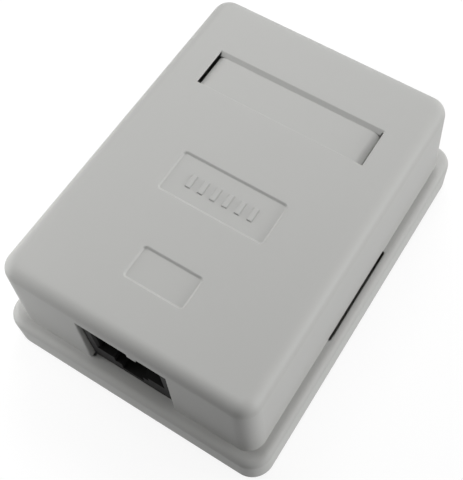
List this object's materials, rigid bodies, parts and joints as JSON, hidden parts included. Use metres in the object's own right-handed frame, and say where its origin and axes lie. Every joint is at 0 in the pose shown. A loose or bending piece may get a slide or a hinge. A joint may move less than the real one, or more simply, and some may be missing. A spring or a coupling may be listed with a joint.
{
  "type": "surface mount jack box",
  "caption": "Low snap-together box for a wall that holds one modular network socket, with a circuit board and insulation displacement blocks inside.",
  "frame": {"origin": "middle of the base's underside, on the wall side", "axes": "+Z away from the wall towards the cover's top, -Y towards the socket's mouth, +X across the box"},
  "size_m": [0.0484, 0.065, 0.024],
  "materials": {
    "shell_plastic": "fine satin texture, light warm grey",
    "socket_plastic": "black, faint sheen",
    "block_plastic": "natural white, smooth",
    "board_laminate": "green solder mask",
    "gilt_wire": "gold flash, polished",
    "tinned_metal": "tin plate, satin",
    "label_paper": "matt coated paper with plain fields of colour",
    "pad_foam": "closed-cell foam",
    "liner_paper": "waxed paper"
  },
  "bodies": {
    "base": {"base": "shell_plastic", "circuit_board": "board_laminate", "jack_housing": "socket_plastic", "jack_insert": "socket_plastic", "idc_block_left": "block_plastic", "idc_block_right": "block_plastic", "colour_code_label": "label_paper", "adhesive_pad": "pad_foam", "release_liner": "liner_paper", "contact_1": "gilt_wire", "contact_2": "gilt_wire", "contact_3": "gilt_wire", "contact_4": "gilt_wire", "contact_5": "gilt_wire", "contact_6": "gilt_wire", "contact_7": "gilt_wire", "contact_8": "gilt_wire", "idc_terminal_1": "tinned_metal", "idc_terminal_2": "tinned_metal", "idc_terminal_3": "tinned_metal", "idc_terminal_4": "tinned_metal", "idc_terminal_5": "tinned_metal", "idc_terminal_6": "tinned_metal", "idc_terminal_7": "tinned_metal", "idc_terminal_8": "tinned_metal"},
    "cover": {"cover": "shell_plastic"}
  },
  "joints": [
    {"name": "cover_lift", "type": "slide", "parent": "base", "child": "cover", "axis": [0, 0, 1], "range_m": [0, 0.022]}
  ]
}
